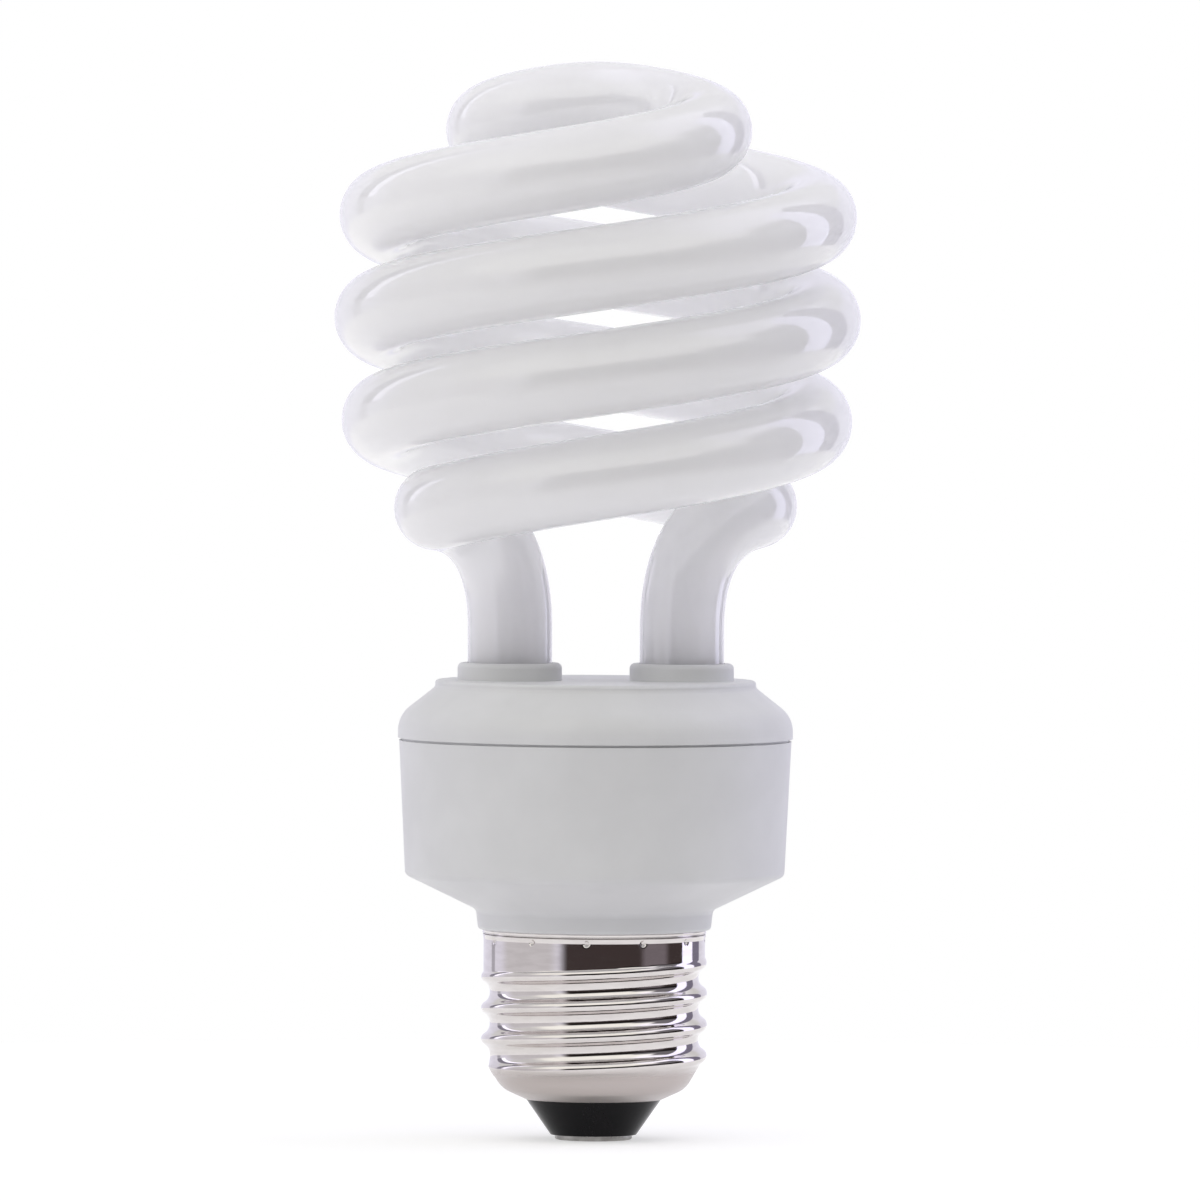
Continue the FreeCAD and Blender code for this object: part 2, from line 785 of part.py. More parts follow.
def make_shell_lead():
    aside = number("lead_aside")
    deep = number("shell_lead_aside")
    level = number("shell_lead_level")
    edge = abs(aside) + number("lead_dia / 2")
    reach = math.sqrt(number("root_bore - shell_lead_gap") ** 2 - edge ** 2)
    bend = [Vector(aside, deep, number("board_under")), Vector(aside, deep, level),
            Vector(aside, -reach, level)]
    return swept("shell_lead", bent_path(bend, number("lead_bend / 2")), "lead_dia / 2")


# Circuit board, posts and leads

def make_board():
    return cylinder("circuit_board", "housing_bore - board_clearance", "board_thickness", z="board_under")


def make_posts_and_leads():
    pieces = []
    corners = [(1, 1), (-1, 1), (-1, -1), (1, -1)]
    for index, (right, back) in enumerate(corners, start=1):
        post_x = f"{right} * (leg_x + post_out)"
        post_y = f"{back} * post_aside"
        pieces.append(box(f"wrap_post_{index}", "post_width", "post_width", "post_height",
                          post_x, post_y, "board_top"))
        level = "board_top + wrap_lift"
        hole = "post_width / sqrt(2) + wrap_clearance"
        spot = (post_x, post_y, level)
        wrap = cut(f"wrap_{index}",
                   cylinder(f"wrap_outer_{index}", f"{hole} + wrap_wall", "wrap_height", *spot),
                   cylinder(f"wrap_inner_{index}", hole, "wrap_height", *spot))
        height = number(f"{level} + wrap_height / 2")
        post = Vector(number(post_x), number(post_y), height)
        leaves = Vector(right * number("leg_x"), back * number("filament_spacing / 2"), number("leg_end"))
        corner = Vector(leaves.x, leaves.y, height)
        towards = (post - corner).normalize()
        stop = post - towards * (number(f"{hole} + wrap_wall / 2"))
        wire = swept(f"filament_wire_{index}", bent_path([leaves, corner, stop], number("wire_bend")),
                     "filament_wire / 2")
        bore = cylinder(f"wrap_bore_{index}", hole, "wrap_height", *spot)
        trimmed = cut(f"filament_trim_{index}", wire, bore)
        pieces.append(fused(f"filament_lead_{index}", trimmed, wrap))
    return pieces


# What hangs under the board

def make_bulk_capacitor():
    blank = turned("capacitor_blank", [
        (0, 0), ("bulk_radius", 0), ("bulk_radius", "bulk_length"), (0, "bulk_length")])
    round_rings(blank, "bulk_edges", "bulk_round", ("bulk_radius", 0), ("bulk_radius", "bulk_length"))
    place(blank, "bulk_offset", 0, "board_under - bulk_length")
    crimp = torus("bulk_groove", "bulk_radius + bulk_crimp / 2", "bulk_crimp",
                  "bulk_offset", 0, "board_under - bulk_crimp_drop")
    return cut("bulk_capacitor", blank, crimp)


def make_choke():
    middle = "choke_x"
    block = box("choke_block", "choke_length", "choke_depth", "choke_height", middle, 0, "choke_under")
    window = "(choke_length - 2 * choke_leg - choke_middle) / 2"
    tall = "choke_height - 2 * choke_yoke"
    windows = []
    for label, side in (("left", "-"), ("right", "+")):
        offset = f"{middle} {side} (choke_middle / 2 + {window} / 2)"
        windows.append(box(f"choke_window_{label}", window, "2 * choke_depth", tall, offset, 0,
                           "choke_under + choke_yoke"))
    core = cut("choke_core", block, fused("choke_windows", *windows))
    foot = "choke_under + choke_yoke"
    flange = "bobbin_flange"
    head = f"{foot} + bobbin_tall - {flange}"
    lower = box("bobbin_lower", "bobbin_x", "bobbin_y", flange, middle, 0, foot)
    upper = box("bobbin_upper", "bobbin_x", "bobbin_y", flange, middle, 0, head)
    tube = box("bobbin_tube", "bobbin_tube_x", "bobbin_tube_y", "bobbin_tall", middle, 0, foot)
    bore = box("bobbin_bore", "bobbin_bore_x", "bobbin_bore_y", "2 * choke_height",
               middle, 0, "choke_under")
    bobbin = cut("choke_bobbin", fused("bobbin_form", lower, upper, tube), bore)
    spot = (middle, 0, f"{foot} + {flange}")
    coil = box("winding_block", "bobbin_x - winding_inset", "bobbin_y - 2 * winding_inset", "winding_tall",
               *spot)
    hole = box("winding_hole", "bobbin_tube_x", "bobbin_tube_y", "winding_tall", *spot)
    return [core, bobbin, cut("choke_winding", coil, hole)]


def make_feedback_transformer():
    ring = torus("feedback_ring", "ring_radius", "ring_section", "ring_offset", 0, "ring_level")
    loops = []
    windings = 3
    turn_step = 32
    for winding in range(windings):
        for turn in (-0.5, 0.5):
            angle = winding * 360 / windings + turn * turn_step
            loop = doc.addObject("Part::Torus", f"ring_turn_{len(loops) + 1}")
            bind(loop, Radius1="ring_section + ring_wire / 2 + ring_clearance", Radius2="ring_wire / 2")
            loop.Placement.Rotation = FreeCAD.Rotation(angle, 0, 90)
            loops.append(place(loop, f"ring_offset + ring_radius * cos({angle} deg)",
                               f"ring_radius * sin({angle} deg)", "ring_level"))
    return [ring, group("feedback_windings", loops)]


def make_transistors():
    pieces = []
    for index, side in enumerate(("", "-"), start=1):
        x = "transistor_out"
        y = f"{side}transistor_aside"
        foot = "board_under - transistor_legs - transistor_height"
        can = cylinder(f"transistor_round_{index}", "transistor_radius", "transistor_height", x, y, foot)
        flat = box(f"transistor_cut_{index}", "2 * transistor_radius", "3 * transistor_radius",
                   "transistor_height", f"{x} + transistor_flat + transistor_radius", y, foot)
        body = cut(f"transistor_case_{index}", can, flat)
        pins = []
        for label, shift in (("a", "-"), ("b", "0 *"), ("c", "")):
            pins.append(box(f"transistor_pin_{index}{label}", "transistor_pin", "transistor_pin",
                            "transistor_legs", x, f"{y} + {shift} transistor_radius / 2",
                            "board_under - transistor_legs"))
        pieces.append(fused(f"transistor_{index}", body, *pins))
    return pieces


def make_film_capacitors():
    hang = "board_under - film_height"
    size = ("film_length", "film_depth", "film_height")
    return [
        rounded_block("resonant_capacitor", *size, "film_out", "film_aside", hang, "film_round"),
        rounded_block("coupling_capacitor", *size, "film_out", "-film_aside", hang, "film_round"),
        rounded_block("start_capacitor", "start_length", "start_depth", "start_height", "start_out",
                      "start_aside", "board_under - start_height", "film_round"),
    ]


def make_filter_choke():
    foot = "board_under - drum_height"
    spool = turned("filter_choke_core", [
        (0, 0), ("drum_radius", 0), ("drum_radius", "drum_flange"), ("drum_core", "drum_flange"),
        ("drum_core", "drum_height - drum_flange"), ("drum_radius", "drum_height - drum_flange"),
        ("drum_radius", "drum_height"), (0, "drum_height")])
    place(spool, "drum_out", "drum_aside", foot)
    coil = turned("filter_choke_winding", [
        ("drum_core", "drum_flange"), ("drum_radius - winding_inset", "drum_flange"),
        ("drum_radius - winding_inset", "drum_height - drum_flange"),
        ("drum_core", "drum_height - drum_flange")])
    place(coil, "drum_out", "drum_aside", foot)
    return [spool, coil]


# Small parts and solder on the board's upper face

def make_diodes():
    pieces = []
    corners = [("", ""), ("-", ""), ("-", "-"), ("", "-")]
    for index, (right, back) in enumerate(corners, start=1):
        spot = (f"{right}diode_out", f"{back}diode_aside")
        case = box(f"diode_case_{index}", "diode_length", "diode_width", "diode_height - diode_lift",
                   *spot, "board_top + diode_lift")
        tabs = box(f"diode_tabs_{index}", "diode_length + 2 * diode_tab", "diode_width / 2", "diode_tab",
                   *spot, "board_top")
        pieces.append(fused(f"rectifier_diode_{index}", case, tabs))
    return pieces


def make_diac():
    glass = cylinder("diac_glass", "diac_radius - diac_step", "diac_length")
    ends = [cylinder("diac_end_left", "diac_radius", "diac_cap"),
            cylinder("diac_end_right", "diac_radius", "diac_cap")]
    shifts = ("-diac_length / 2", "-diac_length / 2", "+ diac_length / 2 - diac_cap")
    for piece, shift in zip([glass] + ends, shifts):
        piece.Placement.Rotation = FreeCAD.Rotation(Vector(0, 1, 0), 90)
        place(piece, f"chip_out {shift}", "2 * chip_pitch", "board_top + diac_radius")
    return fused("diac", glass, *ends)


def make_chip_resistors():
    pieces = []
    for index in range(4):
        y = f"({index} - 2) * chip_pitch"
        pieces.append(box(f"chip_resistor_{index + 1}", "chip_length", "chip_width", "chip_height",
                          "chip_out", y, "board_top"))
    return pieces


def make_solder_joints():
    """Beads over the pins of the parts that hang below."""
    pins = [("lead_aside", 0), ("lead_aside", "shell_lead_aside")]
    for side in ("", "-"):
        pins += [("bulk_offset", f"{side}bulk_radius / 2"),
                 ("choke_x - choke_length / 4", f"{side}choke_depth"),
                 ("choke_x + choke_length / 4", f"{side}choke_depth"),
                 ("ring_offset", f"{side}ring_radius"),
                 (f"film_out + {side}film_length / 3", "film_aside"),
                 (f"film_out + {side}film_length / 3", "-film_aside"),
                 (f"start_out + {side}start_length / 3", "start_aside"),
                 (f"drum_out + {side}drum_radius / 2", "drum_aside")]
        pins += [("transistor_out", f"{side}transistor_aside + {step} * transistor_radius / 2")
                 for step in (-1, 0, 1)]
    beads = []
    for index, (x, y) in enumerate(pins, start=1):
        bead = doc.addObject("Part::Cone", f"bead_{index}")
        bind(bead, Radius1="bead_radius", Radius2="bead_radius / 3", Height="bead_height")
        beads.append(place(bead, x, y, "board_top"))
    return group("solder_joints", beads)


def build():
    """Every sub-part, in the order it would be put together."""
    return [
        make_centre_contact(), make_base_insulator(), make_screw_shell(), make_ballast_housing(),
        make_board(), make_solder_joints(), make_bulk_capacitor(), *make_choke(),
        *make_feedback_transformer(), *make_transistors(), *make_film_capacitors(), *make_filter_choke(),
        *make_diodes(), make_diac(), *make_chip_resistors(), *make_tip_parts(), make_shell_lead(),
        *make_posts_and_leads(), make_tube_cover(), *make_cement(), make_discharge_tube(),
    ]


def export(pieces):
    """Check every object, then write each sub-part."""
    doc.recompute()
    for thing in doc.Objects:
        if {"Invalid", "Error"} & set(thing.State):
            raise RuntimeError(f"{thing.Label}: {thing.State}")
    for piece in pieces:
        if piece.Shape.isNull() or not piece.Shape.isValid():
            raise RuntimeError(f"{piece.Label}: bad shape")
        if not piece.Shape.Solids:
            raise RuntimeError(f"{piece.Label}: no solid")
    os.makedirs("parts", exist_ok=True)
    for piece in pieces:
        piece.Shape.exportStep(os.path.join("parts", f"{piece.Label}.step"))


export(build())
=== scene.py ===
"""Looks of the spiral energy saving lamp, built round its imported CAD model, in metres."""
import json
import math

import bpy
import numpy as np
from mathutils import Matrix, Vector


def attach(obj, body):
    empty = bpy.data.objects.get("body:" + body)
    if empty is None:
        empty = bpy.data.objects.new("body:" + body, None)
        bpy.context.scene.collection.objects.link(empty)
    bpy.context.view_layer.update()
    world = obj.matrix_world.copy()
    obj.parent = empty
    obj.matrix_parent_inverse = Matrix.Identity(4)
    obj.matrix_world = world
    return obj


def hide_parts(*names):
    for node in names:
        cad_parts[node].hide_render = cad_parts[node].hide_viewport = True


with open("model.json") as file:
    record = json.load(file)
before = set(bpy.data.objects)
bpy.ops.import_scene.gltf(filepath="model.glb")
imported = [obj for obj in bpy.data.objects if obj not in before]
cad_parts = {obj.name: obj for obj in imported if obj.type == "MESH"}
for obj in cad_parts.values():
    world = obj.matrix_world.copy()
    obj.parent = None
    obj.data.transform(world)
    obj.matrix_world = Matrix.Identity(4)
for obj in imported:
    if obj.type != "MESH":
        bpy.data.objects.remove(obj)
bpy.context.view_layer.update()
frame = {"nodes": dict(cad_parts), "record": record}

MM = 0.001
FULL_TURN = 2 * math.pi

# Levels up the lamp, in millimetres above the tip
SHELL_BOTTOM = 4.7
SHELL_TOP = 24.4
COVER_TOP = 53.3

# Glass tube, in millimetres, turns and degrees
TUBE_RADIUS = 4.88
STRAND_PITCH = 12.05
COIL_RADIUS = 26.3
COIL_TAPER = 1.55
COIL_TURNS = 2.06
TAPER_TURNS = 1.22
CROWN_TURNS = 0.3734
CROWN_FULLNESS = 2.366
CROSSING_ANGLE = 21.66
CROSSING_TURNS = 0.126
DOME_TURNS = 0.1585
SWELL_HEIGHT = 1.1
SWELL_TURNS = 0.674
SWELL_SPREAD = 0.22
TAIL_REACH = 13.8
TAIL_RISE = 18.2
TAIL_DROP = 14.83
LEG_X = 9.97
LEG_HEIGHT = 6.0
LEG_DEPTH = 5.8
COIL_POINTS = 1500
TAIL_POINTS = 375
LEG_POINTS = 40
TUBE_RINGS = 1200
TUBE_AROUND = 72

# Screw shell, in millimetres, turns and degrees
SHEET = 0.3
BAND_RADIUS = 12.85
BAND_HEIGHT = 4.1
BAND_FLARE = 0.7
ROOT_RADIUS = 12.1
CREST_RADIUS = 13.1
THREAD_PITCH = 3.629
THREAD_LEVEL = 9.8
THREAD_BEGIN = -0.55
THREAD_END = 3.2
THREAD_FADE = 0.24
SHOULDER_LEVEL = 8.4
LIP_RADIUS = 10.7
LIP_LEVEL = 5.95
LIP_ROUND = 3.0
MOUTH_RADIUS = 7.95
CREST_ROUND = 0.75
ROOT_FLAT = 0.14
RIM_HEIGHT = 1.1
RIM_FLARE = 0.16
RIM_GROOVE = 0.45
RIM_GROOVE_DEPTH = 0.1
DIMPLE_COUNT = 12
DIMPLE_LEVEL = 23.35
DIMPLE_TURN = 11.0
DIMPLE_RADIUS = 0.42
DIMPLE_DEPTH = 0.3
FLARE_ROUND = 0.5
BAND_ROUND = 0.4
RIM_ROUND = 0.15
GROOVE_EDGE_ROUND = 0.08
GROOVE_ROUND = 0.04

# Fineness of the shell's mesh: the bore has one row and one angle for BORE_SPARSE of them outside
SHELL_AROUND = 456
SHELL_STEP = 0.15
BORE_SPARSE = 6
SMALL_ROUND = 0.2
SMALL_ROUND_POINTS = 5
ROUND_POINTS = 11

# Clear coats: the index is higher than glass has, for the second reflection from its inner face
GLOSS_INDEX = 1.78
GLOSS_ROUGHNESS = 0.005

# Noise in the finishes
NOISE_DETAIL = 3.0
PATCH_EDGES = (0.3, 0.7)


# Node helpers

def add_node(tree, kind, **settings):
    node = tree.nodes.new(kind)
    for name, value in settings.items():
        setattr(node, name, value)
    return node


def feed(tree, socket, value):
    """Link a socket's source, or set its constant."""
    if isinstance(value, bpy.types.NodeSocket):
        tree.links.new(value, socket)
    else:
        socket.default_value = value


def calculate(tree, operation, *values):
    node = add_node(tree, "ShaderNodeMath", operation=operation)
    for socket, value in zip(node.inputs, values):
        feed(tree, socket, value)
    return node.outputs["Value"]


def ramp(tree, value, low, high, start=0.0, stop=1.0):
    """A smooth step from start to stop as value goes from low to high."""
    node = add_node(tree, "ShaderNodeMapRange", interpolation_type="SMOOTHSTEP")
    feed(tree, node.inputs["Value"], value)
    for name, amount in (("From Min", low), ("From Max", high), ("To Min", start), ("To Max", stop)):
        node.inputs[name].default_value = amount
    return node.outputs["Result"]


def window(tree, value, low, high, soft):
    """One between low and high, with soft edges."""
    inside = ramp(tree, value, low - soft, low + soft)
    return calculate(tree, "MULTIPLY", inside, ramp(tree, value, high - soft, high + soft, 1.0, 0.0))


def mixed(tree, share, first, second):
    """A colour between two others."""
    node = add_node(tree, "ShaderNodeMix", data_type="RGBA")
    feed(tree, node.inputs["Factor"], share)
    ends = [socket for socket in node.inputs if socket.type == "RGBA"]
    feed(tree, ends[0], first)
    feed(tree, ends[1], second)
    return next(socket for socket in node.outputs if socket.type == "RGBA")


def rgb(red, green, blue):
    return (red, green, blue, 1.0)


def speckle(tree, size_mm, stretch=(1.0, 1.0, 1.0)):
    """Noise over the object's own coordinates, with patches of about size_mm."""
    where = add_node(tree, "ShaderNodeTexCoord").outputs["Object"]
    scaled = add_node(tree, "ShaderNodeMapping")
    tree.links.new(where, scaled.inputs["Vector"])
    scaled.inputs["Scale"].default_value = stretch
    noise = add_node(tree, "ShaderNodeTexNoise")
    tree.links.new(scaled.outputs["Vector"], noise.inputs["Vector"])
    noise.inputs["Scale"].default_value = 1 / (size_mm * MM)
    noise.inputs["Detail"].default_value = NOISE_DETAIL
    return noise.outputs["Fac"]


def make_finish(slot, pale, dark, patch, rough, spread=0.06, metallic=0.0, specular=0.5, coat=0.0,
                glow=0.0, depth=1.0, grain=0.4, bump=0.02, stretch=(1.0, 1.0, 1.0), shaded_foot=None):
    """A surface whose colour and gloss vary in patches, with a fine grain and perhaps a foot of painted
    shade, darker towards the bottom, with added roughness.
    """
    material = bpy.data.materials.new(slot)
    material.use_nodes = True
    tree = material.node_tree
    surface = tree.nodes["Principled BSDF"]
    patches = speckle(tree, patch, stretch=stretch)
    colour = mixed(tree, ramp(tree, patches, *PATCH_EDGES), rgb(*dark), rgb(*pale))
    roughness = ramp(tree, patches, *PATCH_EDGES, rough + spread, rough)
    # Painted shade: the colour darkens towards the bottom between the two levels, and the given roughness
    # is added there
    if shaded_foot:
        shade_colour, upper, lower, rougher = shaded_foot
        place = add_node(tree, "ShaderNodeSeparateXYZ")
        tree.links.new(add_node(tree, "ShaderNodeTexCoord").outputs["Object"], place.inputs["Vector"])
        share = ramp(tree, place.outputs["Z"], upper * MM, lower * MM)
        colour = mixed(tree, share, colour, rgb(*shade_colour))
        roughness = calculate(tree, "MULTIPLY_ADD", share, rougher, roughness)
    tree.links.new(colour, surface.inputs["Base Color"])
    tree.links.new(roughness, surface.inputs["Roughness"])
    surface.inputs["Metallic"].default_value = metallic
    surface.inputs["Specular IOR Level"].default_value = specular
    surface.inputs["Coat Weight"].default_value = coat
    surface.inputs["Coat Roughness"].default_value = GLOSS_ROUGHNESS
    surface.inputs["Coat IOR"].default_value = GLOSS_INDEX
    surface.inputs["Subsurface Weight"].default_value = glow
    surface.inputs["Subsurface Radius"].default_value = (1.0, 1.0, 1.0)
    surface.inputs["Subsurface Scale"].default_value = depth * MM
    relief = add_node(tree, "ShaderNodeBump")
    relief.inputs["Strength"].default_value = bump
    relief.inputs["Distance"].default_value = grain * MM
    tree.links.new(speckle(tree, grain, stretch=stretch), relief.inputs["Height"])
    tree.links.new(relief.outputs["Normal"], surface.inputs["Normal"])
    return material


# Finishes by the record's slots, in millimetres; a foot of painted shade is a colour, two levels and
# added roughness

FINISHES = {
    # The tube's foot is painted shade: the legs and the lower bends darken towards the bottom
    "coated_glass": dict(pale=(0.985, 0.985, 0.985), dark=(0.97, 0.97, 0.97), patch=9.0, rough=0.5,
                         specular=0.1, coat=1.0, glow=1.0, depth=45.0, grain=2.5, bump=0.01,
                         shaded_foot=((0.735, 0.73, 0.745), 71.0, 62.0, 0.0)),
    "white_moulding": dict(pale=(0.78, 0.785, 0.79), dark=(0.75, 0.755, 0.76), patch=7.0, rough=0.42,
                           grain=0.25, bump=0.05),
    # The shell's foot is painted shade: the shoulder and lip darken towards the bottom, dimming their
    # reflection, and are also rougher there
    "nickel_plate": dict(pale=(0.73, 0.695, 0.68), dark=(0.67, 0.635, 0.62), patch=3.0, rough=0.04,
                         spread=0.04, metallic=1.0, grain=0.6, bump=0.004, stretch=(1.0, 1.0, 5.0),
                         shaded_foot=((0.525, 0.475, 0.46), 9.2, 7.6, 0.24)),
    "black_glass": dict(pale=(0.006, 0.005, 0.007), dark=(0.003, 0.003, 0.004), patch=2.0, rough=0.14,
                        specular=0.14, grain=0.8, bump=0.02),
    "contact_metal": dict(pale=(0.42, 0.41, 0.40), dark=(0.30, 0.29, 0.28), patch=1.2, rough=0.28,
                          metallic=1.0, grain=0.4, bump=0.08),
    "cement": dict(pale=(0.66, 0.64, 0.58), dark=(0.52, 0.50, 0.45), patch=0.8, rough=0.85,
                   grain=0.3, bump=0.3),
    "board_laminate": dict(pale=(0.50, 0.38, 0.20), dark=(0.38, 0.28, 0.14), patch=0.9, rough=0.55,
                           grain=0.3, bump=0.06, stretch=(1.0, 3.0, 1.0)),
    "solder": dict(pale=(0.70, 0.71, 0.73), dark=(0.52, 0.53, 0.55), patch=0.5, rough=0.2,
                   metallic=1.0, grain=0.3, bump=0.1),
    "capacitor_sleeve": dict(pale=(0.035, 0.045, 0.075), dark=(0.02, 0.025, 0.045), patch=2.0, rough=0.3,
                             grain=0.5, bump=0.04),
    "ferrite": dict(pale=(0.085, 0.085, 0.09), dark=(0.05, 0.05, 0.055), patch=0.6, rough=0.6,
                    grain=0.2, bump=0.15),
    "bobbin_plastic": dict(pale=(0.11, 0.11, 0.11), dark=(0.08, 0.08, 0.08), patch=1.5, rough=0.5,
                           grain=0.3, bump=0.05),
    "copper_winding": dict(pale=(0.70, 0.36, 0.15), dark=(0.45, 0.20, 0.08), patch=0.5, rough=0.3,
                           metallic=0.8, grain=0.3, bump=0.3, stretch=(0.4, 0.4, 3.0)),
    "black_epoxy": dict(pale=(0.03, 0.03, 0.03), dark=(0.02, 0.02, 0.02), patch=0.8, rough=0.55,
                        grain=0.2, bump=0.1),
    "film_coating": dict(pale=(0.42, 0.12, 0.055), dark=(0.32, 0.085, 0.04), patch=2.0, rough=0.3,
                         coat=0.4, grain=0.7, bump=0.05),
    "diode_glass": dict(pale=(0.70, 0.32, 0.11), dark=(0.45, 0.16, 0.05), patch=0.8, rough=0.15,
                        coat=1.0, grain=0.4, bump=0.03),
    "resistor_sleeve": dict(pale=(0.05, 0.05, 0.05), dark=(0.035, 0.035, 0.035), patch=1.0, rough=0.5,
                            grain=0.3, bump=0.08),
    "wire_sleeve": dict(pale=(0.72, 0.72, 0.70), dark=(0.62, 0.62, 0.60), patch=1.5, rough=0.45,
                        grain=0.3, bump=0.04),
    "chip_ceramic": dict(pale=(0.10, 0.10, 0.11), dark=(0.06, 0.06, 0.07), patch=0.6, rough=0.4,
                         grain=0.2, bump=0.1),
    "post_metal": dict(pale=(0.68, 0.67, 0.64), dark=(0.50, 0.49, 0.46), patch=0.7, rough=0.25,
                       metallic=1.0, grain=0.3, bump=0.06),
}
materials = {slot: make_finish(slot, **look) for slot, look in FINISHES.items()}


# Mesh helpers

def ring_faces(rings, around, first=0):
    """Quads between rings of points, each ring closed on itself."""
    rows = np.arange(rings - 1)[:, None] * around + first
    here = np.arange(around)[None, :]
    after = (here + 1) % around
    corners = (rows + here, rows + after, rows + around + after, rows + around + here)
    return np.stack(corners, axis=-1).reshape(-1, 4).tolist()


def add_piece(name, points, faces, slot, *nodes):
    """A new mesh piece, in place of the CAD nodes it stands for."""
    mesh = bpy.data.meshes.new(name)
    mesh.from_pydata((np.asarray(points) * MM).tolist(), [], faces)
    mesh.polygons.foreach_set("use_smooth", [True] * len(mesh.polygons))
    mesh.materials.append(materials[slot])
    mesh.update()
    piece = bpy.data.objects.new(name, mesh)
    bpy.context.scene.collection.objects.link(piece)
    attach(piece, "root")
    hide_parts(*nodes)


def unit(vectors):
    return vectors / np.linalg.norm(vectors, axis=-1, keepdims=True)


# Glass tube: two strands that meet at the crossing on top

def descent(turns):
    """How far a strand has come down from the crossing."""
    dome = FULL_TURN * DOME_TURNS
    return STRAND_PITCH / math.pi * (np.hypot(FULL_TURN * turns, dome) - dome)


def coil_line():
    """One strand from the crossing down to where its tail begins."""
    turns = np.linspace(0.0, COIL_TURNS, COIL_POINTS)
    crown = turns / CROWN_TURNS
    half_turns = 2 * np.maximum(turns - TAPER_TURNS, 0)
    narrowing = COIL_TAPER * half_turns ** 2
    radius = (COIL_RADIUS - narrowing) * crown / (1 + crown ** CROWN_FULLNESS) ** (1 / CROWN_FULLNESS)
    radius += SWELL_HEIGHT * np.exp(-((turns - SWELL_TURNS) / SWELL_SPREAD) ** 2)
    swing = FULL_TURN * CROSSING_TURNS
    azimuth = math.radians(CROSSING_ANGLE) - (np.hypot(FULL_TURN * turns, swing) - swing)
    level = COVER_TOP + LEG_HEIGHT + TAIL_DROP + descent(COIL_TURNS) - descent(turns)
    return np.stack([radius * np.cos(azimuth), radius * np.sin(azimuth), level], axis=1)


def tail_line(start, heading):
    """The bend from the coil's end into the upright leg."""
    leg_top = np.array([LEG_X, 0.0, COVER_TOP + LEG_HEIGHT])
    handles = (start, start + heading * TAIL_REACH, leg_top + np.array([0.0, 0.0, TAIL_RISE]), leg_top)
    part = np.linspace(0.0, 1.0, TAIL_POINTS)[1:, None]
    rest = 1 - part
    weights = (rest ** 3, 3 * rest * rest * part, 3 * rest * part * part, part ** 3)
    return sum(handle * weight for handle, weight in zip(handles, weights))


def tube_line():
    """Centre line of the whole tube, from one leg's end to the other's."""
    coil = coil_line()
    tail = tail_line(coil[-1], unit(coil[-1] - coil[-2]))
    levels = np.linspace(COVER_TOP + LEG_HEIGHT, COVER_TOP - LEG_DEPTH, LEG_POINTS)[1:]
    leg = np.array([[LEG_X, 0.0, level] for level in levels])
    strand = np.concatenate([coil, tail, leg])
    other = strand * np.array([-1.0, -1.0, 1.0])
    return np.concatenate([other[:0:-1], strand])


def even_line(line, count):
    """The same line with evenly spaced points."""
    run = np.concatenate([[0.0], np.cumsum(np.linalg.norm(np.diff(line, axis=0), axis=1))])
    at = np.linspace(0.0, run[-1], count)
    return np.stack([np.interp(at, run, line[:, axis]) for axis in range(3)], axis=1)


def make_glass_spiral():
    """The tube round its centre line, on rings that don't twist."""
    line = even_line(tube_line(), TUBE_RINGS)
    heading = unit(np.gradient(line, axis=0))
    side = np.zeros_like(line)
    side[0] = (1.0, 0.0, 0.0)
    for step in range(1, len(line)):
        carried = side[step - 1] - np.dot(side[step - 1], heading[step]) * heading[step]
        side[step] = carried / np.linalg.norm(carried)
    across = np.cross(heading, side)
    angles = np.linspace(0, FULL_TURN, TUBE_AROUND, endpoint=False)
    circle = (np.cos(angles)[None, :, None] * side[:, None, :]
              + np.sin(angles)[None, :, None] * across[:, None, :])
    points = (line[:, None, :] + TUBE_RADIUS * circle).reshape(-1, 3)
    faces = ring_faces(TUBE_RINGS, TUBE_AROUND)
    last = (TUBE_RINGS - 1) * TUBE_AROUND
    faces.append(list(range(TUBE_AROUND))[::-1])
    faces.append(list(range(last, last + TUBE_AROUND)))
    add_piece("glass_spiral", points, faces, "coated_glass", "discharge_tube")


# Screw shell: rolled thread, plain band, crimped rim

def rounded_outline(corners, step):
    """Points along straight runs whose corners are rounded, no further apart than step."""
    path = []
    for index, (radius, level, rounding) in enumerate(corners):
        here = np.array([radius, level])
        if not rounding:
            path.append(here)
            continue
        before = unit(np.array(corners[index - 1][:2]) - here)
        after = unit(np.array(corners[index + 1][:2]) - here)
        half = math.acos(np.clip(np.dot(before, after), -1, 1)) / 2
        reach = rounding / math.tan(half)
        centre = here + unit(before + after) * rounding / math.sin(half)
        begin = here + before * reach - centre
        finish = here + after * reach - centre
        count = SMALL_ROUND_POINTS if rounding < SMALL_ROUND else ROUND_POINTS
        for share in np.linspace(0, 1, count):
            path.append(centre + unit(begin * (1 - share) + finish * share) * rounding)
    points = [path[0]]
    for start, stop in zip(path, path[1:]):
        parts = max(1, math.ceil(np.linalg.norm(stop - start) / step))
        points += [start + (stop - start) * part / parts for part in range(1, parts + 1)]
    return np.array(points)


